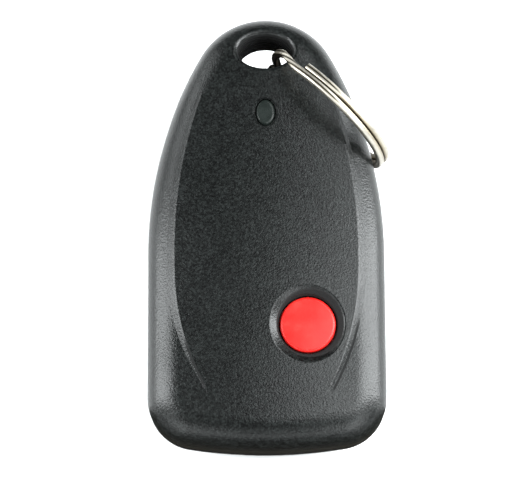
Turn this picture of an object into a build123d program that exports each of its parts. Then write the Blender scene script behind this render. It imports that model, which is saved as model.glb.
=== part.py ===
"""One-button remote transmitter on a split ring.

Millimetres. The case lies on its back: +X to the right, +Y along the case towards
the key-ring eyelet, +Z out of the front. z = 0 is the flat of the back cover.
"""

import math
import os

from build123d import *

os.makedirs("parts", exist_ok=True)

# ---------------------------------------------------------------- driving sizes
# case outline: top arc, flank arcs, straight sides, corner arcs, bottom arc
top_y, bottom_y = 31.96, -32.42
top_radius, flank_radius, corner_radius, bottom_radius = 10.92, 61.7, 7.0, 72.0
shoulder_angle, side_angle = 61.2, 90.0  # degrees from +Y

# front: crowned along and across, with a raised panel between two arcs
crest_y, crest_z = -4.75, 14.0
crown_long, crown_cross = 260.0, 90.0
step = 0.64
front_fillet, back_fillet = 4.0, 4.4
bevel_in, bevel_down, bevel_soft = 3.2, 1.45, 6.0  # sloping flank inside the rounded edge
panel_half_width = 14.3
panel_top_radius, panel_low_radius = 60.0, 38.0
panel_high_y, panel_low_y = -3.5, -6.0
panel_foot_z = 12.1
panel_edge = 0.45
panel_taper = 48.0

# back: flat up to back_flat_y, then curving up towards the eyelet
back_flat_y, back_curve_radius = 6.0, 96.0

wall = 1.6
roof = 2.2
parting_z = 6.0
parting_gap = 0.25
tongue = 0.7

# eyelet
eye_y, eye_a, eye_b = 26.2, 4.0, 2.62
eye_wall = 1.75
eye_core_y = 27.5  # the case is solid beyond this

# push button
button_x, button_y = 5.85, -14.7
button_radius, button_top_z = 4.0, 12.85
button_hole_radius = 4.2
dish_radius, dish_depth = 5.7, 0.72
button_travel = 0.3

# indicator window
window_y, window_a, window_b = 16.65, 1.45, 2.0

# circuit board
board_z, board_t = 4.4, 1.6
board_top = board_z + board_t

# 12 V cell, 8.0 x 28
cell_x, cell_z, cell_radius = -9.5, 6.2, 4.0
cell_low_y, cell_high_y = -22.6, 4.4

# split ring: two turns of flat wire
ring_angle = -43.5
ring_hole = (1.2, 26.15, 7.1)
ring_radius = 11.0
ring_wire_w, ring_wire_t = 1.1, 1.0
ring_gap = 0.05

screws = [(10.8, -25.4), (-10.2, 12.5), (7.5, 17.9)]
screw_seat_z, screw_tip_z = 2.4, 9.2


def normal(angle):
    a = math.radians(angle)
    return Vector(math.sin(a), math.cos(a))


def flip(p):
    return Vector(-p.X, p.Y)


top_centre = Vector(0, top_y - top_radius)
flank_centre = top_centre + normal(shoulder_angle) * (top_radius - flank_radius)
flank_end = flank_centre + normal(side_angle) * flank_radius
side_run = Vector(math.cos(math.radians(side_angle)), -math.sin(math.radians(side_angle)))
bottom_centre = Vector(0, bottom_y + bottom_radius)
_q = flank_end - normal(side_angle) * corner_radius - bottom_centre
_b = _q.dot(side_run)
side_length = -_b + math.sqrt(_b**2 - _q.dot(_q) + (bottom_radius - corner_radius) ** 2)
corner_centre = flank_end + side_run * side_length - normal(side_angle) * corner_radius
_w = corner_centre - bottom_centre
corner_angle = math.degrees(math.atan2(_w.X, _w.Y))


def case_outline(inset=0.0):
    """Closed outline of the case, drawn into the current BuildLine."""

    def at(centre, radius, angle):
        return centre + normal(angle) * (radius - inset)

    p1 = at(top_centre, top_radius, shoulder_angle)
    p2 = at(flank_centre, flank_radius, side_angle)
    p3 = at(corner_centre, corner_radius, side_angle)
    p4 = at(corner_centre, corner_radius, corner_angle)
    m12 = at(flank_centre, flank_radius, (shoulder_angle + side_angle) / 2)
    m34 = at(corner_centre, corner_radius, (side_angle + corner_angle) / 2)
    ThreePointArc(flip(p1), at(top_centre, top_radius, 0), p1)
    ThreePointArc(p1, m12, p2)
    Line(p2, p3)
    ThreePointArc(p3, m34, p4)
    ThreePointArc(p4, at(bottom_centre, bottom_radius, 180), flip(p4))
    ThreePointArc(flip(p4), flip(m34), flip(p3))
    Line(flip(p3), flip(p2))
    ThreePointArc(flip(p2), flip(m12), flip(p1))


def back_profile(lift=0.0):
    """Side view of everything above the back surface, on the YZ plane."""
    radius = back_curve_radius - lift
    a = math.asin(39 / radius)
    z_end = back_curve_radius - radius * math.cos(a)
    Line((-45, lift), (back_flat_y, lift))
    ThreePointArc(
        (back_flat_y, lift),
        (back_flat_y + radius * math.sin(a / 2), back_curve_radius - radius * math.cos(a / 2)),
        (back_flat_y + 39, z_end),
    )
    Polyline((back_flat_y + 39, z_end), (back_flat_y + 39, 20), (-45, 20), (-45, lift))


def smooth(t):
    t = min(1.0, max(0.0, t))
    return t * t * t * (t * (6 * t - 15) + 10)


def crest(y):
    return crest_z - (y - crest_y) ** 2 / (2 * crown_long)


def base_crest(y):
    """Height of the case front beside the panel: lower than the panel, and level with it at both ends."""
    dip = smooth((y + 27.5) / 15.0) * smooth((20.2 - y) / 7.5)
    return crest(y) + 0.02 - step * dip


def back_z(y):
    if y <= back_flat_y:
        return 0.0
    return back_curve_radius - math.sqrt(back_curve_radius**2 - (y - back_flat_y) ** 2)


def on_eyelet(edge):
    """Whether an edge runs round the eyelet's bore."""
    return all(
        abs(math.hypot((p.X) / eye_a, (p.Y - eye_y) / eye_b) - 1) < 0.05
        for p in (edge @ 0.0, edge @ 0.5, edge @ 1.0)
    )


def cap_height(r, edge_r, rise):
    """Height at radius r of a round cap that rises this far above its edge, at edge_r."""
    sphere = (edge_r**2 + rise**2) / (2 * rise)
    return math.sqrt(sphere**2 - r**2) - (sphere - rise)


def crown_section(depth=4.0, half=24.0):
    """What lies above the crowned front, in the plane across it."""
    drop = crown_cross - math.sqrt(crown_cross**2 - half**2)
    ThreePointArc((-half, -drop), (0, 0), (half, -drop))
    Polyline((half, -drop), (half, depth), (-half, depth), (-half, -drop))


# ---------------------------------------------------------------- shaping tools
with BuildPart() as above_base:
    with BuildLine() as base_spine:
        Spline(*[(0, y, base_crest(y)) for y in range(-42, 43)])
    with BuildSketch(Plane(origin=base_spine.line @ 0, x_dir=(-1, 0, 0), z_dir=base_spine.line % 0)):
        with BuildLine():
            crown_section()
        make_face()
    sweep()

with BuildPart() as above_panel:
    with BuildLine() as panel_spine:
        Spline(*[(0, y, crest(y)) for y in range(-42, 43, 7)])
    with BuildSketch(Plane(origin=panel_spine.line @ 0, x_dir=(-1, 0, 0), z_dir=panel_spine.line % 0)):
        with BuildLine():
            crown_section()
        make_face()
    sweep()

with BuildPart() as above_cavity:
    with BuildLine() as cavity_spine:
        Spline(*[(0, y, crest(y) - roof) for y in range(-42, 43, 7)])
    with BuildSketch(Plane(origin=cavity_spine.line @ 0, x_dir=(-1, 0, 0), z_dir=cavity_spine.line % 0)):
        with BuildLine():
            crown_section(depth=6.0)
        make_face()
    sweep()

# the whole case as one rounded block
with BuildPart() as case_block:
    with BuildSketch():
        with BuildLine():
            case_outline()
        make_face()
    extrude(amount=14.6)
    add(above_base.part, mode=Mode.SUBTRACT)
    with BuildSketch(Plane.YZ):
        with BuildLine():
            back_profile()
        make_face()
    extrude(amount=30, both=True, mode=Mode.INTERSECT)
    # sloping flanks, softened where they meet the crowned front, then the rounded edge
    chamfer(
        case_block.edges().filter_by(lambda e: e.center().Z > 9.8),
        bevel_in,
        bevel_down,
        reference=case_block.faces().sort_by(Axis.Z)[-1],
    )
    fillet(case_block.faces().sort_by(Axis.Z)[-1].edges(), bevel_soft)
    sides = case_block.faces().filter_by(lambda f: abs(f.normal_at().Z) < 0.01)
    fillet([e for f in sides for e in f.edges() if (e @ 0.5).Z > 8 and abs((e % 0.5).Z) < 0.5], front_fillet)
    fillet(
        case_block.edges().filter_by(
            lambda e: e.center().Z < 4.6
            and abs((e % 0.5).Z) < 0.5
            and not (abs((e % 0.5).X) > 0.99 and abs(e.center().Y - back_flat_y) < 0.1)
        ),
        back_fillet,
    )

# the raised panel
with BuildPart() as panel_block:
    with BuildSketch(Plane.XY.offset(panel_foot_z)):
        with BuildLine():
            top_dy, low_dy = 23.5, 23.0
            x_top = panel_half_width - panel_top_radius + math.sqrt(panel_top_radius**2 - top_dy**2)
            x_low = panel_half_width - panel_low_radius + math.sqrt(panel_low_radius**2 - low_dy**2)
            x_tm = panel_half_width - panel_top_radius + math.sqrt(panel_top_radius**2 - 12**2)
            x_lm = panel_half_width - panel_low_radius + math.sqrt(panel_low_radius**2 - 12**2)
            for side in (1, -1):
                Line((side * panel_half_width, panel_low_y), (side * panel_half_width, panel_high_y))
                ThreePointArc(
                    (side * panel_half_width, panel_high_y),
                    (side * x_tm, panel_high_y + 12),
                    (side * x_top, panel_high_y + top_dy),
                )
                ThreePointArc(
                    (side * panel_half_width, panel_low_y),
                    (side * x_lm, panel_low_y - 12),
                    (side * x_low, panel_low_y - low_dy),
                )
            Line((-x_top, panel_high_y + top_dy), (x_top, panel_high_y + top_dy))
            Line((-x_low, panel_low_y - low_dy), (x_low, panel_low_y - low_dy))
        make_face()
    extrude(amount=2.4, taper=panel_taper)
    extrude(panel_block.faces().sort_by(Axis.Z)[0], amount=2.0, dir=(0, 0, -1))
    add(above_panel.part, mode=Mode.SUBTRACT)
    # soft upper edge
    fillet(
        panel_block.edges().filter_by(lambda e: e.center().Z > 12.4 and e.length > 3 and abs(e.center().X) > 3),
        panel_edge,
    )

# the hollow of the case, less what stands in it
with BuildPart() as cavity_block:
    with BuildSketch(Plane.XY.offset(0.5)):
        with BuildLine():
            case_outline(wall)
        make_face()
    extrude(amount=13.0)
    add(above_cavity.part, mode=Mode.SUBTRACT)
    with BuildSketch(Plane.YZ):
        with BuildLine():
            back_profile(wall)
        make_face()
    extrude(amount=30, both=True, mode=Mode.INTERSECT)
    fillet(cavity_block.edges().filter_by(lambda e: e.center().Z > 8.0 and abs((e % 0.5).Z) < 0.5), 2.0)
    fillet(
        cavity_block.edges().filter_by(
            lambda e: e.center().Z < 5.5
            and abs((e % 0.5).Z) < 0.5
            and not (abs((e % 0.5).X) > 0.99 and abs(e.center().Y - back_flat_y) < 0.1)
        ),
        back_fillet - wall,
    )
    # eyelet tube
    with BuildSketch(Plane.XY):
        with Locations((0, eye_y)):
            Ellipse(eye_a + eye_wall, eye_b + eye_wall)
        with Locations((0, eye_core_y + 5)):
            Rectangle(30, 10)
    extrude(amount=14, mode=Mode.SUBTRACT)
    # screw posts
    with BuildSketch(Plane.XY):
        with Locations(*screws):
            Circle(2.3)
    extrude(amount=14, mode=Mode.SUBTRACT)

# the through opening of the eyelet
with BuildPart() as eye_front:
    with BuildSketch(Plane.XY.offset(parting_z - 1)):
        with Locations((0, eye_y)):
            Ellipse(eye_a - 0.05, eye_b - 0.05)
    with BuildSketch(Plane.XY.offset(15)):
        with Locations((0, eye_y)):
            Ellipse(eye_a + 0.08, eye_b + 0.08)
    loft()

with BuildPart() as eye_back:
    with BuildSketch(Plane.XY.offset(-1)):
        with Locations((0, eye_y)):
            Ellipse(eye_a + 0.05, eye_b + 0.05)
    with BuildSketch(Plane.XY.offset(parting_z + 1)):
        with Locations((0, eye_y)):
            Ellipse(eye_a - 0.2, eye_b - 0.2)
    loft()

# ---------------------------------------------------------------- front cover
with BuildPart() as front_cover:
    add(case_block.part)
    add(panel_block.part)
    add(eye_front.part, mode=Mode.SUBTRACT)
    # soft rim round the eyelet
    rim = front_cover.edges().filter_by(
        lambda e: on_eyelet(e) and e.center().Z > 10.5 and abs((e % 0.5).Z) < 0.7
    )
    fillet(rim, 0.7)
    # ridged bore
    for z0 in (9.75, 8.1, 6.6):
        with BuildSketch(Plane.XY.offset(z0)):
            with Locations((0, eye_y)):
                Ellipse(eye_a + 0.36, eye_b + 0.36)
        extrude(amount=0.55, mode=Mode.SUBTRACT)
    # dish round the button, square to the crowned front, and the button's hole
    crown_normal = Vector(button_x / crown_cross, (button_y - crest_y) / crown_long, 1)
    dish_plane = Plane(
        origin=(button_x, button_y, crest(button_y) - crown_cross + math.sqrt(crown_cross**2 - button_x**2)),
        x_dir=(1, 0, -button_x / crown_cross),
        z_dir=crown_normal,
    )
    for (d0, r0), (d1, r1) in (((0, dish_radius), (dish_depth, 4.45)), ((dish_depth, 4.45), (1.5, 4.0))):
        with BuildSketch(dish_plane.offset(-d0)):
            Circle(r0)
        with BuildSketch(dish_plane.offset(-d1)):
            Circle(r1)
        loft(mode=Mode.SUBTRACT)
    with BuildSketch(Plane.XY.offset(8)):
        with Locations((button_x, button_y)):
            Circle(button_hole_radius)
    extrude(amount=7, mode=Mode.SUBTRACT)
    dish_rim = front_cover.edges().filter_by(
        lambda e: e.length > 12
        and abs(math.hypot((e @ 0.5).X - button_x, (e @ 0.5).Y - button_y) - 5.45) < 0.3
        and (e @ 0.5).Z > 12.8
    )
    fillet(dish_rim, 0.3)
    # window recess and slot
    with BuildSketch(Plane.XY.offset(8)):
        with Locations((0, window_y)):
            Ellipse(window_a + 0.06, window_b + 0.06)
    extrude(amount=7, mode=Mode.SUBTRACT)
    with BuildSketch(Plane.XY.offset(12.72)):
        with Locations((0, window_y)):
            Ellipse(window_a + 0.13, window_b + 0.13)
    with BuildSketch(Plane.XY.offset(13.3)):
        with Locations((0, window_y)):
            Ellipse(window_a + 0.55, window_b + 0.32)
    loft(mode=Mode.SUBTRACT)
    # hollow, open below the parting line
    add(cavity_block.part, mode=Mode.SUBTRACT)
    with BuildSketch(Plane.XY.offset(parting_z)):
        Rectangle(60, 90)
    extrude(amount=-10, mode=Mode.SUBTRACT)
    # rebate that takes the back cover's tongue
    with BuildSketch(Plane.XY.offset(parting_z)):
        with BuildLine():
            case_outline(wall - tongue - 0.08)
        make_face()
        with Locations((0, eye_y)):
            Ellipse(eye_a + eye_wall + 0.3, eye_b + eye_wall + 0.3, mode=Mode.SUBTRACT)
        with Locations((0, eye_core_y + 4.6)):
            Rectangle(30, 10, mode=Mode.SUBTRACT)
        with Locations(*screws):
            Circle(2.6, mode=Mode.SUBTRACT)
    extrude(amount=1.15, mode=Mode.SUBTRACT)
    # guide collar under the button hole
    with BuildSketch(Plane.XY.offset(10.9)):
        with Locations((button_x, button_y)):
            Circle(5.7)
            Circle(button_hole_radius, mode=Mode.SUBTRACT)
    extrude(amount=1.2)
    # pilot holes
    with BuildSketch(Plane.XY.offset(parting_z)):
        with Locations(*screws):
            Circle(1.03)
    extrude(amount=screw_tip_z + 0.5 - parting_z, mode=Mode.SUBTRACT)
    # ribs that hold the board down
    with BuildSketch(Plane.XY.offset(board_top + 0.1)):
        with Locations((12.35, -4.0), (12.35, 4.0), (3.2, -26.0)):
            Rectangle(0.9, 2.2)
    extrude(amount=6.0)
front_cover.part.label = "front_cover"
export_step(front_cover.part, "parts/front_cover.step")

# ---------------------------------------------------------------- back cover
with BuildPart() as back_cover:
    add(case_block.part)
    add(eye_back.part, mode=Mode.SUBTRACT)
    back_rim = back_cover.edges().filter_by(
        lambda e: on_eyelet(e) and e.center().Z < 4.5 and abs((e % 0.5).Z) < 0.7
    )
    fillet(back_rim, 0.6)
    add(cavity_block.part, mode=Mode.SUBTRACT)
    with BuildSketch(Plane.XY.offset(parting_z - parting_gap)):
        Rectangle(60, 90)
    extrude(amount=10, mode=Mode.SUBTRACT)
    # tongue round the edge
    with BuildSketch(Plane.XY.offset(parting_z - parting_gap)):
        with BuildLine():
            case_outline(wall - tongue)
        make_face()
        with BuildLine():
            case_outline(wall)
        make_face(mode=Mode.SUBTRACT)
        with Locations((0, eye_core_y + 4.2)):
            Rectangle(30, 10, mode=Mode.SUBTRACT)
    extrude(amount=1.2)
    # screw clearance holes and head recesses
    with BuildSketch(Plane.XY.offset(-1)):
        with Locations(*screws):
            Circle(1.2)
    extrude(amount=8, mode=Mode.SUBTRACT)
    with BuildSketch(Plane.XY.offset(-1)):
        with Locations(*screws):
            Circle(2.05)
    extrude(amount=1 + screw_seat_z, mode=Mode.SUBTRACT)
    # board posts with locating pins
    with BuildSketch(Plane.XY.offset(1.0)):
        with Locations((-2.4, -23.6), (9.4, -9.2), (-5.6, 17.6)):
            Circle(1.2)
    extrude(amount=board_z - 1.0)
    with BuildSketch(Plane.XY.offset(board_z)):
        with Locations((-2.4, -23.6), (9.4, -9.2), (-5.6, 17.6)):
            Circle(0.55)
    extrude(amount=board_t + 0.5)
    # cell saddles and the walls behind the contacts
    with BuildSketch(Plane.XY.offset(1.0)):
        with Locations((cell_x, -18.0), (cell_x, 0.0)):
            Rectangle(7.6, 1.2)
    extrude(amount=3.0)
    with BuildSketch(Plane.XZ.offset(30)):
        with Locations((cell_x, cell_z)):
            Circle(cell_radius + 0.15)
    extrude(amount=-40, mode=Mode.SUBTRACT)
    with BuildSketch(Plane.XY.offset(1.0)):
        with Locations((cell_x, -26.8), (cell_x, 6.75)):
            Rectangle(8.4, 1.1)
    extrude(amount=6.4)
back_cover.part.label = "back_cover"
export_step(back_cover.part, "parts/back_cover.step")

# ---------------------------------------------------------------- button
with BuildPart() as button_cap:
    with BuildSketch(Plane.XZ.offset(-button_y)):
        with BuildLine():
            Polyline((button_x, 11.9), (button_x + 3.2, 11.9), (button_x + 3.2, 10.15), (button_x + 4.85, 10.15))
            Line((button_x + 4.85, 10.15), (button_x + 4.85, 10.75))
            Line((button_x + 4.85, 10.75), (button_x + button_radius, 10.75))
            Line((button_x + button_radius, 10.75), (button_x + button_radius, button_top_z - 0.45))
            ThreePointArc(
                (button_x + button_radius, button_top_z - 0.45),
                (button_x + button_radius - 0.132, button_top_z - 0.132),
                (button_x + button_radius - 0.45, button_top_z),
            )
            flat = button_radius - 0.45
            ThreePointArc(
                (button_x + flat, button_top_z),
                (button_x + 1.8, button_top_z + cap_height(1.8, flat, 0.16)),
                (button_x, button_top_z + 0.16),
            )
            Line((button_x, button_top_z + 0.16), (button_x, 11.9))
        make_face()
    revolve(axis=Axis((button_x, button_y, 0), (0, 0, 1)))
    # pusher over the switch
    with BuildSketch(Plane.XY.offset(10.44)):
        with Locations((button_x, button_y)):
            Circle(1.5)
    extrude(amount=1.6)
    with BuildSketch(Plane.XY.offset(10.9)):
        with Locations((button_x, button_y)):
            Rectangle(6.6, 0.7)
            Rectangle(0.7, 6.6)
    extrude(amount=1.2)
button_cap.part.label = "button_cap"
export_step(button_cap.part, "parts/button_cap.step")

# ---------------------------------------------------------------- indicator lens
with BuildPart() as led_lens:
    with BuildSketch(Plane.XY.offset(10.1)):
        with Locations((0, window_y)):
            Ellipse(window_a + 0.6, window_b + 0.6)
    extrude(amount=0.6)
    with BuildSketch(Plane.XY.offset(10.7)):
        with Locations((0, window_y)):
            Ellipse(window_a, window_b)
    extrude(amount=2.15)
    fillet(led_lens.edges().sort_by(Axis.Z)[-1], 0.5)
led_lens.part.label = "led_lens"
export_step(led_lens.part, "parts/led_lens.step")

# ---------------------------------------------------------------- circuit board
with BuildPart() as circuit_board:
    with BuildSketch(Plane.XY.offset(board_z)):
        with BuildLine():
            Polyline(
                (-4.2, -27.2),
                (7.0, -27.2),
                (12.9, -20.5),
                (12.9, 9.5),
                (11.6, 14.5),
                (11.0, 15.9),
                (7.5, 17.9),
                (4.4, 20.6),
                (-7.0, 20.6),
                (-7.2, 8.2),
                (-4.2, 8.2),
                (-4.2, -27.2),
            )
        make_face()
        with Locations(*screws):
            Circle(2.7, mode=Mode.SUBTRACT)
        with Locations((-2.4, -23.6), (9.4, -9.2), (-5.6, 17.6)):
            Circle(0.65, mode=Mode.SUBTRACT)
        with Locations((-1.27, window_y), (1.27, window_y)):
            Circle(0.45, mode=Mode.SUBTRACT)
    extrude(amount=board_t)
circuit_board.part.label = "circuit_board"
export_step(circuit_board.part, "parts/circuit_board.step")

with BuildPart() as antenna_loop:
    with BuildSketch(Plane.XY.offset(board_top)):
        with BuildLine():
            Polyline(
                (11.6, -19.6),
                (11.6, 9.4),
                (10.2, 15.0),
                (-6.7, 15.0),
                (-6.7, 8.7),
                (-6.0, 8.7),
                (-6.0, 14.3),
                (9.65, 14.3),
                (10.9, 9.3),
                (10.9, -19.6),
                (11.6, -19.6),
            )
        make_face()
    extrude(amount=0.1)
antenna_loop.part.label = "antenna_loop"
export_step(antenna_loop.part, "parts/antenna_loop.step")

# ---------------------------------------------------------------- cell and contacts
with BuildPart() as battery_can:
    with BuildSketch(Plane.XZ.offset(-cell_low_y)):
        with Locations((cell_x, cell_z)):
            Circle(cell_radius - 0.12)
    extrude(amount=-(cell_high_y - cell_low_y))
    fillet(battery_can.edges().filter_by(GeomType.CIRCLE), 0.4)
battery_can.part.label = "battery_can"
export_step(battery_can.part, "parts/battery_can.step")

with BuildPart() as battery_sleeve:
    with BuildSketch(Plane.XZ.offset(-cell_low_y - 0.5)):
        with Locations((cell_x, cell_z)):
            Circle(cell_radius)
            Circle(cell_radius - 0.11, mode=Mode.SUBTRACT)
    extrude(amount=-(cell_high_y - cell_low_y - 1.0))
battery_sleeve.part.label = "battery_sleeve"
export_step(battery_sleeve.part, "parts/battery_sleeve.step")

with BuildPart() as battery_positive_cap:
    with BuildSketch(Plane.XZ.offset(-cell_high_y - 0.01)):
        with Locations((cell_x, cell_z)):
            Circle(2.0)
    extrude(amount=-0.95)
    fillet(battery_positive_cap.edges().group_by(Axis.Y)[-1], 0.3)
battery_positive_cap.part.label = "battery_positive_cap"
export_step(battery_positive_cap.part, "parts/battery_positive_cap.step")

with BuildPart() as battery_contact_positive:
    with BuildSketch(Plane.XZ.offset(-5.42)):
        with Locations((cell_x, 5.6)):
            Rectangle(6.4, 7.0)
    extrude(amount=-0.4)
    with BuildSketch(Plane.XY.offset(board_top + 0.02)):
        with BuildLine():
            Polyline((-6.4, 5.42), (-2.2, 5.42), (-2.2, 7.2), (-3.6, 7.2), (-3.6, 5.82), (-6.4, 5.82), (-6.4, 5.42))
        make_face()
    extrude(amount=0.9)
battery_contact_positive.part.label = "battery_contact_positive"
export_step(battery_contact_positive.part, "parts/battery_contact_positive.step")

with BuildPart() as battery_contact_negative:
    with BuildSketch(Plane.XZ.offset(25.7)):
        with Locations((cell_x, 5.6)):
            Rectangle(6.4, 7.0)
    extrude(amount=0.4)
    with BuildSketch(Plane.XY.offset(board_top + 0.02)):
        with BuildLine():
            Polyline((-6.4, -26.1), (-1.6, -26.1), (-1.6, -24.9), (-2.9, -24.9), (-2.9, -25.7), (-6.4, -25.7), (-6.4, -26.1))
        make_face()
    extrude(amount=0.9)
battery_contact_negative.part.label = "battery_contact_negative"
export_step(battery_contact_negative.part, "parts/battery_contact_negative.step")

with BuildPart() as battery_spring:
    with BuildLine() as coil:
        Helix(
            pitch=0.74,
            height=2.3,
            radius=2.5,
            center=(cell_x, -25.4, cell_z),
            direction=(0, 1, 0),
            cone_angle=-14,
        )
    with BuildSketch(Plane(origin=coil.line @ 0, z_dir=coil.line % 0)):
        Circle(0.22)
    sweep(is_frenet=True)
battery_spring.part.label = "battery_spring"
export_step(battery_spring.part, "parts/battery_spring.step")

# ---------------------------------------------------------------- tact switch
switch_plane = Plane(origin=(button_x, button_y, board_top))

with BuildPart() as switch_base:
    with BuildSketch(switch_plane):
        RectangleRounded(6.0, 6.0, 0.5)
    extrude(amount=3.15)
    with BuildSketch(switch_plane.offset(1.6)):
        Circle(2.45)
    extrude(amount=3.0, mode=Mode.SUBTRACT)
    with BuildSketch(switch_plane.offset(0.0)):
        with Locations((-2.25, 3.0), (2.25, 3.0), (-2.25, -3.0), (2.25, -3.0)):
            Rectangle(0.8, 0.6)
    extrude(amount=0.6, mode=Mode.SUBTRACT)
switch_base.part.label = "switch_base"
export_step(switch_base.part, "parts/switch_base.step")

with BuildPart() as switch_frame:
    with BuildSketch(switch_plane.offset(3.17)):
        RectangleRounded(6.1, 6.1, 0.5)
        Circle(1.9, mode=Mode.SUBTRACT)
    extrude(amount=0.2)
    with BuildSketch(switch_plane.offset(0.7)):
        with Locations((-3.11, 0), (3.11, 0)):
            Rectangle(0.2, 2.6)
    extrude(amount=2.6)
switch_frame.part.label = "switch_frame"
export_step(switch_frame.part, "parts/switch_frame.step")

with BuildPart() as switch_plunger:
    with BuildSketch(switch_plane.offset(2.45)):
        Circle(2.3)
    extrude(amount=0.65)
    with BuildSketch(switch_plane.offset(2.45)):
        Circle(1.75)
    extrude(amount=1.95)
    fillet(switch_plunger.edges().sort_by(Axis.Z)[-1], 0.15)
switch_plunger.part.label = "switch_plunger"
export_step(switch_plunger.part, "parts/switch_plunger.step")

with BuildPart() as switch_dome:
    with BuildSketch(Plane.XZ.offset(-button_y)):
        with BuildLine():
            ThreePointArc((button_x, 8.36), (button_x + 1.1, 7.72 + cap_height(1.1, 2.2, 0.64)), (button_x + 2.2, 7.72))
            Line((button_x + 2.2, 7.72), (button_x + 2.2, 7.62))
            ThreePointArc((button_x + 2.2, 7.62), (button_x + 1.1, 7.62 + cap_height(1.1, 2.2, 0.64)), (button_x, 8.26))
            Line((button_x, 8.26), (button_x, 8.36))
        make_face()
    revolve(axis=Axis((button_x, button_y, 0), (0, 0, 1)))
switch_dome.part.label = "switch_dome"
export_step(switch_dome.part, "parts/switch_dome.step")

with BuildPart() as switch_terminals:
    with BuildSketch(switch_plane.offset(0.01)):
        with Locations((-2.25, 3.45), (2.25, 3.45), (-2.25, -3.45), (2.25, -3.45)):
            Rectangle(0.7, 1.4)
    extrude(amount=0.2)
switch_terminals.part.label = "switch_terminals"
export_step(switch_terminals.part, "parts/switch_terminals.step")

# ---------------------------------------------------------------- indicator LED
with BuildPart() as led_body:
    with BuildSketch(Plane.YZ):
        with BuildLine():
            Polyline((window_y, 6.3), (window_y + 1.75, 6.3), (window_y + 1.75, 6.95), (window_y + 1.5, 6.95), (window_y + 1.5, 8.3))
            ThreePointArc((window_y + 1.5, 8.3), (window_y + 1.5 * math.sqrt(0.5), 8.3 + 1.5 * math.sqrt(0.5)), (window_y, 9.8))
            Line((window_y, 9.8), (window_y, 6.3))
        make_face()
    revolve(axis=Axis((0, window_y, 0), (0, 0, 1)))
led_body.part.label = "led_body"
export_step(led_body.part, "parts/led_body.step")

with BuildPart() as led_leads:
    with BuildSketch(Plane.XY.offset(3.5)):
        with Locations((-1.27, window_y), (1.27, window_y)):
            Rectangle(0.45, 0.45)
    extrude(amount=2.78)
led_leads.part.label = "led_leads"
export_step(led_leads.part, "parts/led_leads.step")

with BuildPart() as solder_joints:
    for sx in (-1.27, 1.27):
        with BuildSketch(Plane.XZ.offset(-window_y)):
            with BuildLine():
                Polyline((sx + 0.34, 4.38), (sx + 0.95, 4.38), (sx + 0.45, 3.6), (sx + 0.34, 3.6), (sx + 0.34, 4.38))
            make_face()
        revolve(axis=Axis((sx, window_y, 0), (0, 0, 1)))
solder_joints.part.label = "solder_joints"
export_step(solder_joints.part, "parts/solder_joints.step")

# ---------------------------------------------------------------- radio parts
chip_plane = Plane(origin=(4.6, -3.6, board_top))
with BuildPart() as encoder_chip:
    with BuildSketch(chip_plane.offset(0.15)):
        Rectangle(3.9, 4.9)
    extrude(amount=1.4)
    chamfer(encoder_chip.edges().group_by(Axis.Z)[-1], 0.25)
    with BuildSketch(chip_plane.offset(1.45)):
        with Locations((-1.2, 1.7)):
            Circle(0.3)
    extrude(amount=0.3, mode=Mode.SUBTRACT)
encoder_chip.part.label = "encoder_chip"
export_step(encoder_chip.part, "parts/encoder_chip.step")

with BuildPart() as encoder_leads:
    for ly in (-1.905, -0.635, 0.635, 1.905):
        for side in (1, -1):
            with BuildSketch(Plane.XZ.offset(3.6 - ly - 0.2)):
                with BuildLine():
                    Polyline(
                        (4.6 + side * 1.97, 6.85),
                        (4.6 + side * 2.45, 6.85),
                        (4.6 + side * 2.65, 6.22),
                        (4.6 + side * 3.15, 6.22),
                        (4.6 + side * 3.15, 6.02),
                        (4.6 + side * 2.5, 6.02),
                        (4.6 + side * 2.3, 6.65),
                        (4.6 + side * 1.97, 6.65),
                        (4.6 + side * 1.97, 6.85),
                    )
                make_face()
            extrude(amount=-0.4)
encoder_leads.part.label = "encoder_leads"
export_step(encoder_leads.part, "parts/encoder_leads.step")

with BuildPart() as resonator_base:
    with BuildSketch(Plane.XY.offset(board_top + 0.3)):
        with Locations((5.0, 6.4)):
            Circle(4.6)
    extrude(amount=0.4)
    with BuildSketch(Plane.XY.offset(board_top + 0.02)):
        with Locations((5.0, 6.4)):
            with PolarLocations(2.54, 3):
                Circle(0.9)
    extrude(amount=0.4)
resonator_base.part.label = "resonator_base"
export_step(resonator_base.part, "parts/resonator_base.step")

with BuildPart() as resonator_can:
    with BuildSketch(Plane.XY.offset(board_top + 0.72)):
        with Locations((5.0, 6.4)):
            Circle(4.1)
    extrude(amount=2.9)
    fillet(resonator_can.edges().sort_by(Axis.Z)[-1], 0.5)
resonator_can.part.label = "resonator_can"
export_step(resonator_can.part, "parts/resonator_can.step")

with BuildPart() as transistor_body:
    with BuildSketch(Plane.XY.offset(board_top + 0.1)):
        with Locations((-1.4, 12.0)):
            Rectangle(2.9, 1.3)
    extrude(amount=1.0)
    chamfer(transistor_body.edges().group_by(Axis.Z)[-1], 0.15)
transistor_body.part.label = "transistor_body"
export_step(transistor_body.part, "parts/transistor_body.step")

with BuildPart() as transistor_leads:
    with BuildSketch(Plane.XY.offset(board_top + 0.01)):
        with Locations((-2.35, 10.9), (-0.45, 10.9), (-1.4, 13.1)):
            Rectangle(0.42, 0.86)
    extrude(amount=0.15)
transistor_leads.part.label = "transistor_leads"
export_step(transistor_leads.part, "parts/transistor_leads.step")

with BuildPart() as trimmer_base:
    with BuildSketch(Plane.XY.offset(board_top + 0.01)):
        with Locations((-1.3, 2.6)):
            RectangleRounded(4.0, 4.5, 0.4)
    extrude(amount=1.5)
trimmer_base.part.label = "trimmer_base"
export_step(trimmer_base.part, "parts/trimmer_base.step")

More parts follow.
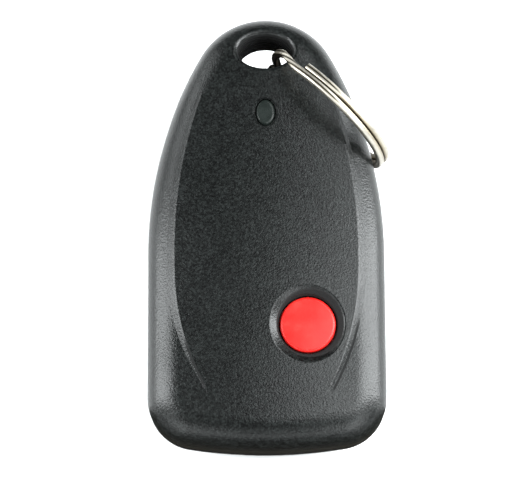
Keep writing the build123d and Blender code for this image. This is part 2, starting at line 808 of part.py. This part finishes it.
with BuildPart() as trimmer_rotor:
    with BuildSketch(Plane.XY.offset(board_top + 1.53)):
        with Locations((-1.3, 2.6)):
            Circle(1.7)
    extrude(amount=1.0)
    with BuildSketch(Plane.XY.offset(board_top + 2.0)):
        with Locations((-1.3, 2.6)):
            Rectangle(2.4, 0.5)
    extrude(amount=1.0, mode=Mode.SUBTRACT)
trimmer_rotor.part.label = "trimmer_rotor"
export_step(trimmer_rotor.part, "parts/trimmer_rotor.step")

with BuildPart() as choke_coil:
    with BuildSketch(Plane.YZ.offset(-2.8)):
        with Locations((-6.5, board_top + 1.35)):
            Circle(1.3)
    extrude(amount=3.6)
    fillet(choke_coil.edges().filter_by(GeomType.CIRCLE), 0.4)
choke_coil.part.label = "choke_coil"
export_step(choke_coil.part, "parts/choke_coil.step")

with BuildPart() as chip_resistors:
    with BuildSketch(Plane.XY.offset(board_top + 0.01)):
        with Locations((-1.6, -11.0), (-1.6, -13.4), (-1.6, -15.8), (0.9, -21.8), (4.4, -21.8), (9.2, -5.2)):
            Rectangle(2.0, 1.25)
    extrude(amount=0.5)
chip_resistors.part.label = "chip_resistors"
export_step(chip_resistors.part, "parts/chip_resistors.step")

with BuildPart() as chip_capacitors:
    with BuildSketch(Plane.XY.offset(board_top + 0.01)):
        with Locations((-1.6, -18.2), (9.4, -2.6), (9.4, 0.0), (-2.9, 9.0), (2.2, 12.9)):
            Rectangle(2.0, 1.25)
    extrude(amount=0.85)
chip_capacitors.part.label = "chip_capacitors"
export_step(chip_capacitors.part, "parts/chip_capacitors.step")

# ---------------------------------------------------------------- screws
with BuildPart() as housing_screws:
    with BuildSketch(Plane.XY.offset(screw_seat_z - 0.2)):
        with Locations(*screws):
            Circle(1.0)
    extrude(amount=screw_tip_z - screw_seat_z + 0.2)
    with BuildSketch(Plane.XY.offset(screw_seat_z - 0.01)):
        with Locations(*screws):
            Circle(1.9)
    extrude(amount=-1.2)
    fillet(housing_screws.edges().group_by(Axis.Z)[0], 0.5)
    with BuildSketch(Plane.XY.offset(screw_seat_z - 1.3)):
        with Locations(*screws):
            Rectangle(2.2, 0.45)
            Rectangle(0.45, 2.2)
    extrude(amount=0.9, mode=Mode.SUBTRACT)
    # thread
    for sx, sy in screws:
        for k in range(6):
            z0 = screw_seat_z + 3.9 + 0.5 * k
            with BuildSketch(Plane.XZ.offset(-sy)):
                with BuildLine():
                    Polyline((sx + 0.78, z0 + 0.25), (sx + 1.02, z0 + 0.02), (sx + 1.02, z0 + 0.48), (sx + 0.78, z0 + 0.25))
                make_face()
            revolve(axis=Axis((sx, sy, 0), (0, 0, 1)), mode=Mode.SUBTRACT)
housing_screws.part.label = "housing_screws"
export_step(housing_screws.part, "parts/housing_screws.step")

# ---------------------------------------------------------------- split ring
_a = math.radians(ring_angle)
ring_u = Vector(math.cos(_a), math.sin(_a), 0)
ring_n = Vector(math.sin(_a), -math.cos(_a), 0)
ring_centre = Vector(*ring_hole) + ring_u * ring_radius
# in this plane local x runs from the hole to the shoulder, local y is up, and local z is along the ring's axis
ring_plane = Plane(origin=ring_centre, x_dir=ring_u, z_dir=ring_n)
layer = (ring_wire_t + ring_gap) / 2
# single-wire part, in degrees round the ring from the shoulder side: the far turn's cut end,
# the crossing from one layer to the other, and the near turn's cut end
cut_a, cross_a, cross_b, cut_b = 115.0, 119.0, 152.0, 192.0


def wire_plane(angle, shift):
    """Plane square to the wire at this angle, with its x along the radius."""
    t = math.radians(angle)
    radial = ring_u * math.cos(t) + Vector(0, 0, 1) * math.sin(t)
    along = ring_u * -math.sin(t) + Vector(0, 0, 1) * math.cos(t)
    return Plane(origin=ring_centre + radial * ring_radius + ring_n * shift, x_dir=radial, z_dir=along)


ring_axis = Axis(ring_centre, ring_n)

with BuildPart() as split_ring:
    # near layer, from its cut end round to the crossing
    with BuildSketch(wire_plane(cut_b, layer)):
        RectangleRounded(ring_wire_w, ring_wire_t, 0.28)
    revolve(axis=ring_axis, revolution_arc=360 + cross_a - cut_b)
    # crossing between the layers
    steps = 7
    for k in range(steps + 1):
        t = k / steps
        ease = t * t * (3 - 2 * t)
        angle = cross_a + (cross_b - cross_a) * t
        with BuildSketch(wire_plane(angle, layer * (1 - 2 * ease))):
            RectangleRounded(ring_wire_w, ring_wire_t, 0.28)
    loft()
    # far layer, from the crossing round to its cut end
    with BuildSketch(wire_plane(cross_b, -layer)):
        RectangleRounded(ring_wire_w, ring_wire_t, 0.28)
    revolve(axis=ring_axis, revolution_arc=360 + cut_a - cross_b)
split_ring.part.label = "split_ring"
export_step(split_ring.part, "parts/split_ring.step")
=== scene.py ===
"""Looks of the one-button remote transmitter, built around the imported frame. Metres."""

import math

import bpy
import bmesh
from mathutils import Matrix, Quaternion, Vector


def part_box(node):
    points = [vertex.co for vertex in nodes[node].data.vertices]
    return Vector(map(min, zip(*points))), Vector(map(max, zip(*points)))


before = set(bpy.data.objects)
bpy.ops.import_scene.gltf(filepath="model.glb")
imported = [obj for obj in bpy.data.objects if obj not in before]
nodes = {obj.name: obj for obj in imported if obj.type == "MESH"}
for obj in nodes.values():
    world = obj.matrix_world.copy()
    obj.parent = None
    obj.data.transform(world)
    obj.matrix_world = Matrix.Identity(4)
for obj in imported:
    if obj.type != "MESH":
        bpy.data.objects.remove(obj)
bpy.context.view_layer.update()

MM = 0.001
scene = bpy.context.scene


# ---------------------------------------------------------------- material helpers
class Mat:
    """A node material on a Principled shader, with short helpers for its nodes."""

    def __init__(self, name, **values):
        self.m = bpy.data.materials.new(name)
        self.m.use_nodes = True
        self.t = self.m.node_tree
        self.bsdf = self.t.nodes["Principled BSDF"]
        self.coord = self.new("ShaderNodeTexCoord").outputs["Object"]
        for key, value in values.items():
            self.bsdf.inputs[key.replace("_", " ")].default_value = value

    def new(self, kind, **props):
        node = self.t.nodes.new(kind)
        for key, value in props.items():
            setattr(node, key, value)
        return node

    def link(self, a, b):
        self.t.links.new(a, b)

    def stretched(self, scale, turn=(0, 0, 0)):
        node = self.new("ShaderNodeMapping")
        self.link(self.coord, node.inputs["Vector"])
        node.inputs["Rotation"].default_value = turn
        node.inputs["Scale"].default_value = scale
        return node.outputs["Vector"]

    def noise(self, scale, detail=3.0, rough=0.5, vector=None, distortion=0.0):
        node = self.new("ShaderNodeTexNoise")
        self.link(vector or self.coord, node.inputs["Vector"])
        node.inputs["Scale"].default_value = scale
        node.inputs["Detail"].default_value = detail
        node.inputs["Roughness"].default_value = rough
        node.inputs["Distortion"].default_value = distortion
        return node.outputs["Fac"]

    def voronoi(self, scale, feature="F1", vector=None):
        node = self.new("ShaderNodeTexVoronoi", feature=feature)
        self.link(vector or self.coord, node.inputs["Vector"])
        node.inputs["Scale"].default_value = scale
        return node.outputs["Distance"]

    def cells(self, scale):
        """A random value for each small cell."""
        node = self.new("ShaderNodeTexVoronoi", feature="F1")
        self.link(self.coord, node.inputs["Vector"])
        node.inputs["Scale"].default_value = scale
        split = self.new("ShaderNodeSeparateColor")
        self.link(node.outputs["Color"], split.inputs["Color"])
        return split.outputs["Red"]

    def ramp(self, value, stops):
        """Colours along a value: stops are (position, (r, g, b)) or (position, grey)."""
        node = self.new("ShaderNodeValToRGB")
        self.link(value, node.inputs["Fac"])
        ramp = node.color_ramp
        while len(ramp.elements) < len(stops):
            ramp.elements.new(0.5)
        for element, (position, colour) in zip(ramp.elements, stops):
            if not isinstance(colour, tuple):
                colour = (colour, colour, colour)
            element.position = position
            element.color = (*colour, 1)
        return node.outputs["Color"]

    def math(self, kind, a, b=0.0):
        node = self.new("ShaderNodeMath", operation=kind)
        for socket, value in zip(node.inputs, (a, b)):
            if isinstance(value, (int, float)):
                socket.default_value = value
            else:
                self.link(value, socket)
        return node.outputs[0]

    def mix(self, fac, a, b, kind="MIX"):
        node = self.new("ShaderNodeMix", data_type="RGBA", blend_type=kind)
        for index, value in ((0, fac), (6, a), (7, b)):
            socket = node.inputs[index]
            if isinstance(value, (int, float)):
                socket.default_value = value
            elif isinstance(value, tuple):
                socket.default_value = (*value, 1)
            else:
                self.link(value, socket)
        return node.outputs[2]

    def oval(self, centre, a, b, inner, outer):
        """1 inside an upright oval cylinder about centre, falling to 0 between inner and outer times its radii."""
        shift = self.new("ShaderNodeMapping")
        self.link(self.coord, shift.inputs["Vector"])
        shift.inputs["Location"].default_value = (-centre[0] / a, -centre[1] / b, 0)
        shift.inputs["Scale"].default_value = (1 / a, 1 / b, 0)
        length = self.new("ShaderNodeVectorMath", operation="LENGTH")
        self.link(shift.outputs["Vector"], length.inputs[0])
        node = self.new("ShaderNodeMapRange", interpolation_type="SMOOTHSTEP")
        self.link(length.outputs["Value"], node.inputs["Value"])
        for key, value in (("From Min", inner), ("From Max", outer), ("To Min", 1.0), ("To Max", 0.0)):
            node.inputs[key].default_value = value
        return node.outputs["Result"]

    def crease(self, centre, radius, low, high):
        """1 along a fine arc about centre, between two places along the case, running out at both ends."""
        half, soft = 0.14 * MM, 0.09 * MM
        outside = self.oval(centre, radius, radius, (radius + half) / radius, (radius + half + soft) / radius)
        inside = self.oval(centre, radius, radius, (radius - half - soft) / radius, (radius - half) / radius)
        split = self.new("ShaderNodeSeparateXYZ")
        self.link(self.coord, split.inputs["Vector"])
        band = self.math("SUBTRACT", outside, inside)
        for start, end in ((low, low + 1.2 * MM), (high, high - 3.5 * MM)):
            node = self.new("ShaderNodeMapRange", interpolation_type="SMOOTHSTEP")
            self.link(split.outputs["Y"], node.inputs["Value"])
            node.inputs["From Min"].default_value, node.inputs["From Max"].default_value = start, end
            band = self.math("MULTIPLY", band, node.outputs["Result"])
        return band

    def sunk(self, least, most):
        """0 on the panel's crowned surface and 1 where the surface lies lower, between these depths."""
        split = self.new("ShaderNodeSeparateXYZ")
        self.link(self.coord, split.inputs["Vector"])
        along = self.math("POWER", self.math("ADD", split.outputs["Y"], 4.75 * MM), 2.0)
        across = self.math("POWER", split.outputs["X"], 2.0)
        fall = self.math("ADD", self.math("DIVIDE", along, 520 * MM), self.math("DIVIDE", across, 180 * MM))
        depth = self.math("SUBTRACT", self.math("SUBTRACT", 14.0 * MM, fall), split.outputs["Z"])
        node = self.new("ShaderNodeMapRange", interpolation_type="SMOOTHSTEP")
        self.link(depth, node.inputs["Value"])
        for key, value in (("From Min", least), ("From Max", most)):
            node.inputs[key].default_value = value
        return node.outputs["Result"]

    def colour(self, value):
        self.link(value, self.bsdf.inputs["Base Color"])

    def rough(self, value, low, high):
        node = self.new("ShaderNodeMapRange")
        self.link(value, node.inputs["Value"])
        node.inputs["To Min"].default_value = low
        node.inputs["To Max"].default_value = high
        self.link(node.outputs["Result"], self.bsdf.inputs["Roughness"])

    def bump(self, height, distance, strength=1.0, under=None):
        node = self.new("ShaderNodeBump")
        node.inputs["Strength"].default_value = strength
        node.inputs["Distance"].default_value = distance
        self.link(height, node.inputs["Height"])
        if under is not None:
            self.link(under, node.inputs["Normal"])
        self.link(node.outputs["Normal"], self.bsdf.inputs["Normal"])
        return node.outputs["Normal"]


def case_material():
    """Dark grey moulding with a fine spark-eroded grain; with painted shade, a flat darker colour and a matt finish,
    in the eyelet's bore, on the button's dish walls towards their right and top, and along two fine creases beside the
    panel's lower edges.
    """
    m = Mat("case_grained", Specular_IOR_Level=0.3, IOR=1.5)
    coarse = m.noise(3100, 3.0, 0.6)
    pits = m.voronoi(3600)
    fine = m.noise(6400, 2.0, 0.6)
    patch = m.noise(170, 3.0, 0.5)
    grain = m.math("ADD", m.math("MULTIPLY", coarse, 0.68), m.math("MULTIPLY", m.cells(3900), 0.32))
    speck = m.ramp(grain, [(0.34, (0.0009, 0.0011, 0.0011)), (0.50, (0.0036, 0.0043, 0.0041)), (0.68, (0.0098, 0.0114, 0.0110))])
    cloud = m.ramp(patch, [(0.3, 0.84), (0.7, 1.14)])
    moulded = m.mix(1.0, speck, cloud, "MULTIPLY")
    # painted shade masks: the eyelet's bore, the button's dish (its oval set off towards the right and top of the
    # button, so those walls take more of it), and two fine creases beside the panel's lower edges
    bore = m.oval((0, 26.2 * MM), 4.0 * MM, 2.62 * MM, 1.02, 1.10)
    dish = m.math("MULTIPLY", m.oval((6.25 * MM, -14.5 * MM), 4.95 * MM, 4.95 * MM, 0.94, 1.05), m.sunk(0.04 * MM, 0.22 * MM))
    crease_right = m.crease((-23.7 * MM, -6 * MM), 37.75 * MM, -25.0 * MM, -12.0 * MM)
    crease_left = m.crease((23.7 * MM, -6 * MM), 37.0 * MM, -24.2 * MM, -15.0 * MM)
    painted_light = m.math("MAXIMUM", m.math("MAXIMUM", bore, dish), m.math("MAXIMUM", crease_right, crease_left))
    # painted shade: a flat darker colour over those masks; the roughness below also turns them matt
    m.colour(m.mix(painted_light, moulded, (0.0030, 0.0032, 0.0032)))
    gloss = m.new("ShaderNodeMapRange")
    m.link(m.math("ADD", m.math("MULTIPLY", coarse, 0.6), m.math("MULTIPLY", patch, 0.4)), gloss.inputs["Value"])
    gloss.inputs["To Min"].default_value, gloss.inputs["To Max"].default_value = 0.24, 0.36
    m.rough(m.math("MAXIMUM", gloss.outputs["Result"], m.math("MULTIPLY", painted_light, 0.85)), 0.0, 1.0)
    low = m.bump(m.math("ADD", m.math("MULTIPLY", coarse, 0.6), m.math("MULTIPLY", pits, 0.4)), 0.000048, 1.0)
    m.bump(fine, 0.00002, 0.6, low)
    return m.m


def button_material():
    """Satin red cap, with very faint moulding mottle."""
    m = Mat("button_red", Specular_IOR_Level=0.35, IOR=1.49, Subsurface_Weight=0.06, Subsurface_Scale=0.001)
    m.bsdf.inputs["Subsurface Radius"].default_value = (1.0, 0.25, 0.2)
    cloud = m.noise(420, 3.0, 0.55)
    fine = m.noise(5200, 2.0, 0.5)
    m.colour(m.ramp(cloud, [(0.3, (0.52, 0.007, 0.005)), (0.55, (0.58, 0.012, 0.009)), (0.75, (0.64, 0.022, 0.017))]))
    m.rough(cloud, 0.34, 0.44)
    low = m.bump(cloud, 0.00003, 0.4)
    m.bump(fine, 0.00002, 0.35, low)
    return m.m


def lens_material():
    """Polished smoked resin, all but opaque."""
    m = Mat("window_smoked", Specular_IOR_Level=0.18, IOR=1.5)
    depth = m.noise(700, 2.0, 0.5)
    m.colour(m.ramp(depth, [(0.3, (0.0065, 0.0090, 0.0080)), (0.7, (0.0115, 0.0150, 0.0135))]))
    m.rough(depth, 0.26, 0.38)
    m.bump(m.noise(1500, 2.0, 0.5), 0.00002, 0.3)
    return m.m


def ring_material():
    """Warm nickel-plated rolled flat wire with painted reflection: bright and dark lines along each turn's edges near
    the cut, broad cream, tan and olive bands further round; hairline wear in the roughness and bump.
    """
    m = Mat("ring_nickel", Metallic=1.0)
    mottle = m.noise(800, 3.0, 0.55)
    hairs = m.noise(900, 3.0, 0.6, m.stretched((1.0, 1.0, 9.0), (0, 0.3, 0.76)))
    split = m.new("ShaderNodeSeparateXYZ")
    m.link(m.coord, split.inputs["Vector"])
    # distance from the ring's own plane, in millimetres, as 0..1 over 3 mm
    along = m.math("MULTIPLY", m.math("SUBTRACT", split.outputs["X"], 9.18 * MM), 0.688)
    across = m.math("MULTIPLY", m.math("SUBTRACT", split.outputs["Y"], 18.58 * MM), 0.725)
    w = m.math("ADD", m.math("DIVIDE", m.math("ADD", along, across), 3.0 * MM), 0.5)
    # painted reflection colours: the bright, half-lit and dark stripes stand in for the lamps and the dark room
    # mirrored in the wire
    cream, tan, olive, dark = (0.40, 0.38, 0.335), (0.26, 0.225, 0.165), (0.105, 0.085, 0.055), (0.020, 0.018, 0.014)
    bright, painted_half_light = (0.62, 0.595, 0.54), (0.36, 0.325, 0.26)
    painted_edge_glints = m.ramp(w, [(0.10, dark), (0.14, painted_half_light), (0.20, bright), (0.26, painted_half_light), (0.285, dark), (0.325, dark), (0.355, painted_half_light),
                       (0.41, bright), (0.455, painted_half_light), (0.475, dark), (0.52, dark), (0.545, painted_half_light), (0.60, bright), (0.65, painted_half_light),
                       (0.675, dark), (0.715, dark), (0.745, painted_half_light), (0.80, bright), (0.86, tan)])
    painted_light = m.ramp(w, [(0.10, olive), (0.18, cream), (0.33, cream), (0.44, tan), (0.49, dark), (0.53, olive), (0.60, tan),
                       (0.70, cream), (0.80, cream), (0.88, olive)])
    # near the cut the painted reflection is thin glint lines at the turns' edges, further round it is broad bands
    near_cut = m.new("ShaderNodeMapRange", interpolation_type="SMOOTHSTEP")
    m.link(split.outputs["X"], near_cut.inputs["Value"])
    for key, value in (("From Min", 9.6 * MM), ("From Max", 11.4 * MM)):
        near_cut.inputs[key].default_value = value
    painted_reflection = m.mix(near_cut.outputs["Result"], painted_edge_glints, painted_light)
    m.colour(m.mix(1.0, painted_reflection, m.ramp(mottle, [(0.30, (0.86, 0.85, 0.83)), (0.75, (1.0, 1.0, 1.0))]), "MULTIPLY"))
    m.rough(hairs, 0.38, 0.50)
    low = m.bump(mottle, 0.00001, 0.3)
    m.bump(hairs, 0.000006, 0.3, low)
    return m.m


def metal_material(name, dark, mid, light, low, high, scale=1200, stretch=(1, 1, 1)):
    m = Mat(name, Metallic=1.0)
    mottle = m.noise(scale, 3.0, 0.55, m.stretched(stretch))
    m.colour(m.ramp(mottle, [(0.3, dark), (0.55, mid), (0.75, light)]))
    m.rough(mottle, low, high)
    m.bump(m.noise(scale * 3, 2.0, 0.5, m.stretched(stretch)), 0.00002, 0.4)
    return m.m


def plastic_material(name, dark, light, low, high, scale=1400, height=0.00003, **values):
    m = Mat(name, **values)
    mottle = m.noise(scale, 3.0, 0.55)
    m.colour(m.ramp(mottle, [(0.3, dark), (0.7, light)]))
    m.rough(mottle, low, high)
    m.bump(m.noise(scale * 2.5, 2.0, 0.5), height, 0.5)
    return m.m


def board_material():
    """Green solder mask over a woven laminate."""
    m = Mat("board_mask", Specular_IOR_Level=0.5, Coat_Weight=0.15, Coat_Roughness=0.15)
    warp = m.new("ShaderNodeTexWave", wave_type="BANDS", bands_direction="X")
    weft = m.new("ShaderNodeTexWave", wave_type="BANDS", bands_direction="Y")
    for wave in (warp, weft):
        m.link(m.coord, wave.inputs["Vector"])
        wave.inputs["Scale"].default_value = 520
        wave.inputs["Distortion"].default_value = 0.6
    weave = m.math("MULTIPLY", warp.outputs["Fac"], weft.outputs["Fac"])
    cloud = m.noise(300, 3.0, 0.5)
    green = m.ramp(cloud, [(0.3, (0.010, 0.085, 0.030)), (0.7, (0.018, 0.135, 0.050))])
    m.colour(m.mix(0.25, green, m.ramp(weave, [(0.0, (0.008, 0.07, 0.03)), (1.0, (0.05, 0.24, 0.10))])))
    m.rough(cloud, 0.28, 0.42)
    m.bump(weave, 0.00003, 0.5)
    return m.m


def coil_material():
    """Lacquered copper wire wound side by side, with painted shade between the turns and a painted highlight on each
    turn's crown.
    """
    m = Mat("coil_enamel", Metallic=0.6, Coat_Weight=0.3, Coat_Roughness=0.12)
    turns = m.new("ShaderNodeTexWave", wave_type="BANDS", bands_direction="X")
    m.link(m.coord, turns.inputs["Vector"])
    turns.inputs["Scale"].default_value = 1100
    turns.inputs["Distortion"].default_value = 0.3
    # painted shade and painted highlight: the colour darkens into the gaps between turns and lightens on their crowns,
    # following the bump
    m.colour(m.ramp(turns.outputs["Fac"], [(0.0, (0.10, 0.030, 0.012)), (0.6, (0.34, 0.13, 0.05)), (1.0, (0.50, 0.22, 0.09))]))
    m.rough(turns.outputs["Fac"], 0.45, 0.25)
    m.bump(turns.outputs["Fac"], 0.00006, 0.8)
    return m.m


def sleeve_material():
    """Printed-free shrink film: dark body with a broad silver band."""
    m = Mat("cell_sleeve_film", Coat_Weight=0.4, Coat_Roughness=0.12)
    split = m.new("ShaderNodeSeparateXYZ")
    m.link(m.coord, split.inputs["Vector"])
    band = m.math("GREATER_THAN", split.outputs["Y"], -0.0035)
    cloud = m.noise(500, 3.0, 0.5)
    dark = m.ramp(cloud, [(0.3, (0.016, 0.018, 0.045)), (0.7, (0.026, 0.030, 0.070))])
    light = m.ramp(cloud, [(0.3, (0.42, 0.42, 0.44)), (0.7, (0.55, 0.55, 0.56))])
    m.colour(m.mix(band, dark, light))
    m.rough(cloud, 0.22, 0.36)
    m.bump(m.noise(260, 2.0, 0.5), 0.00005, 0.4)
    return m.m


materials = {
    "case": case_material(),
    "button": button_material(),
    "smoked_lens": lens_material(),
    "board": board_material(),
    "copper": metal_material("track_tinned", (0.52, 0.30, 0.16), (0.66, 0.42, 0.26), (0.78, 0.60, 0.44), 0.25, 0.45),
    "steel": metal_material("steel_drawn", (0.46, 0.46, 0.47), (0.60, 0.60, 0.61), (0.72, 0.72, 0.73), 0.22, 0.38, 900, (1, 6, 1)),
    "cell_sleeve": sleeve_material(),
    "nickel": metal_material("contact_nickel", (0.55, 0.53, 0.49), (0.68, 0.66, 0.62), (0.80, 0.78, 0.74), 0.20, 0.36),
    "dark_moulding": plastic_material("moulding_dark", (0.012, 0.012, 0.013), (0.024, 0.024, 0.025), 0.42, 0.58),
    "led_resin": plastic_material("led_resin_red", (0.46, 0.020, 0.016), (0.62, 0.035, 0.026), 0.12, 0.22, 800, 0.00001, Transmission_Weight=0.35),
    "solder": metal_material("solder_flowed", (0.46, 0.47, 0.48), (0.58, 0.59, 0.60), (0.72, 0.73, 0.74), 0.18, 0.42, 2200),
    "epoxy": plastic_material("epoxy_black", (0.010, 0.010, 0.011), (0.022, 0.022, 0.023), 0.48, 0.66, 2400),
    "gold_header": metal_material("header_gold", (0.62, 0.42, 0.14), (0.76, 0.56, 0.24), (0.86, 0.68, 0.36), 0.22, 0.36),
    "ceramic": plastic_material("ceramic_fired", (0.30, 0.21, 0.13), (0.42, 0.31, 0.21), 0.50, 0.70, 2600),
    "brass": metal_material("brass_turned", (0.50, 0.36, 0.12), (0.66, 0.50, 0.20), (0.78, 0.63, 0.32), 0.22, 0.38),
    "enamel_coil": coil_material(),
    "screw_steel": metal_material("screw_zinc", (0.34, 0.34, 0.36), (0.46, 0.46, 0.47), (0.60, 0.60, 0.60), 0.26, 0.44, 1500),
    "ring_steel": ring_material(),
}

def shade(obj, slot):
    obj.data.materials.clear()
    obj.data.materials.append(materials[slot])


SLOT_OF = {
    "front_cover": "case", "back_cover": "case", "button_cap": "button", "led_lens": "smoked_lens",
    "circuit_board": "board", "antenna_loop": "copper", "battery_can": "steel", "battery_sleeve": "cell_sleeve",
    "battery_positive_cap": "steel", "battery_contact_positive": "nickel", "battery_contact_negative": "nickel",
    "battery_spring": "nickel", "switch_base": "dark_moulding", "switch_frame": "nickel",
    "switch_plunger": "dark_moulding", "switch_dome": "nickel", "switch_terminals": "nickel",
    "led_body": "led_resin", "led_leads": "nickel", "solder_joints": "solder", "encoder_chip": "epoxy",
    "encoder_leads": "nickel", "resonator_base": "gold_header", "resonator_can": "steel",
    "transistor_body": "epoxy", "transistor_leads": "nickel", "trimmer_base": "ceramic", "trimmer_rotor": "brass",
    "choke_coil": "enamel_coil", "chip_resistors": "epoxy", "chip_capacitors": "ceramic",
    "housing_screws": "screw_steel", "split_ring": "ring_steel",
}
for name, obj in nodes.items():
    shade(obj, SLOT_OF[name])

# ---------------------------------------------------------------- floor
# the ring stands through the eyelet, so the case lies on the ring and on its own lower edge
contact_y, ring_low = -28.1 * MM, Vector((9.2 * MM, 18.6 * MM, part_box("split_ring")[0].z))
slope = math.atan2(ring_low.z, ring_low.y - contact_y)
bm = bmesh.new()
bmesh.ops.create_grid(bm, x_segments=8, y_segments=8, size=1.6)
floor_mesh = bpy.data.meshes.new("floor")
bm.to_mesh(floor_mesh)
bm.free()
floor = bpy.data.objects.new("floor", floor_mesh)
scene.collection.objects.link(floor)
floor.rotation_euler = (slope, 0, 0)
floor.location = (0, contact_y, -0.00002)
fm = Mat("floor_white", Roughness=0.75)
fm.bsdf.inputs["Specular IOR Level"].default_value = 0.2
fm.colour(fm.ramp(fm.noise(3.0, 2.0, 0.5), [(0.3, 0.90), (0.7, 0.93)]))
floor.data.materials.append(fm.m)

# a black card on the table, seen only in reflections: it keeps the white table out of the case's underside,
# its lower edge and the eyelet's bore
bm = bmesh.new()
card = [(-15, 30), (-16, -24), (-60, -36), (-60, -300), (60, -300), (60, -36), (16, -24), (15, 30), (5, 36), (-5, 36)]
bm.faces.new([bm.verts.new((x * MM, y * MM - contact_y, 0)) for x, y in card])
card_mesh = bpy.data.meshes.new("card")
bm.to_mesh(card_mesh)
bm.free()
card = bpy.data.objects.new("card", card_mesh)
scene.collection.objects.link(card)
card.rotation_euler = floor.rotation_euler
card.location = floor.location + Vector((0, 0, 0.00005))
km = Mat("card_black", Roughness=0.9)
km.bsdf.inputs["Specular IOR Level"].default_value = 0.0
km.colour(km.ramp(km.noise(8.0, 2.0, 0.5), [(0.3, (0.030, 0.026, 0.021)), (0.7, (0.045, 0.040, 0.034))]))
card.data.materials.append(km.m)
card.visible_camera = card.visible_diffuse = card.visible_shadow = card.visible_transmission = False

# ---------------------------------------------------------------- light
world = bpy.data.worlds.new("studio")
scene.world = world
world.use_nodes = True
world.node_tree.nodes["Background"].inputs["Color"].default_value = (0.93, 0.985, 1.0, 1)
world.node_tree.nodes["Background"].inputs["Strength"].default_value = 0.06


def area(name, where, aim, size, radiance, colour=(0.955, 0.99, 1.0)):
    """Soft panel; radiance is what a mirror would see in it."""
    data = bpy.data.lights.new(name, "AREA")
    data.shape = "RECTANGLE"
    data.size, data.size_y = size
    data.energy = radiance * math.pi * size[0] * size[1]
    data.color = colour
    obj = bpy.data.objects.new(name, data)
    scene.collection.objects.link(obj)
    obj.location = where
    direction = Vector(aim) - Vector(where)
    obj.rotation_mode = "QUATERNION"
    obj.rotation_quaternion = direction.to_track_quat("-Z", "Y")
    return obj


area("soft_right", (0.41, 0.06, 0.235), (0, 0, 0.005), (0.20, 0.50), 20.5)
area("soft_left", (-0.405, 0.02, 0.225), (0, 0, 0.005), (0.17, 0.42), 17.0)
area("left_top", (-0.40, 0.32, 0.21), (0, 0, 0.005), (0.20, 0.26), 6.5)
area("fill_right", (0.20, -0.04, 0.45), (0, 0, 0.005), (0.18, 0.34), 7.6)
area("fill_top", (0.20, 0.24, 0.40), (0, 0, 0.005), (0.20, 0.20), 5.8)
area("front_low", (0.0, -0.57, 0.35), (0, -0.02, 0.005), (0.9, 0.3), 2.3)
area("corner_right", (0.32, -0.33, 0.28), (0, -0.02, 0.005), (0.30, 0.22), 6.0)
area("corner_left", (-0.32, -0.33, 0.26), (0, -0.02, 0.005), (0.30, 0.22), 4.2)

# ---------------------------------------------------------------- camera
E = math.radians(78.0)
back = Vector((0, -math.cos(E), math.sin(E)))
up = Vector((0, math.sin(E), math.cos(E)))
cam_data = bpy.data.cameras.new("camera")
cam_data.sensor_width = 36.0
cam_data.lens = 2391 / 529 * 36.0
cam_data.clip_start, cam_data.clip_end = 0.01, 10
cam = bpy.data.objects.new("camera", cam_data)
scene.collection.objects.link(cam)
cam.location = Vector((0, 0, 7 * MM)) + back * 0.350 + Vector((-0.26 * MM, 0, 0)) - up * 1.02 * MM
cam.rotation_mode = "QUATERNION"
roll = math.radians(0.34)
cam.rotation_quaternion = (-back).to_track_quat("-Z", "Y") @ Quaternion((0, 0, 1), -roll)
scene.camera = cam
scene.view_settings.view_transform = "Standard"
scene.view_settings.look = "None"
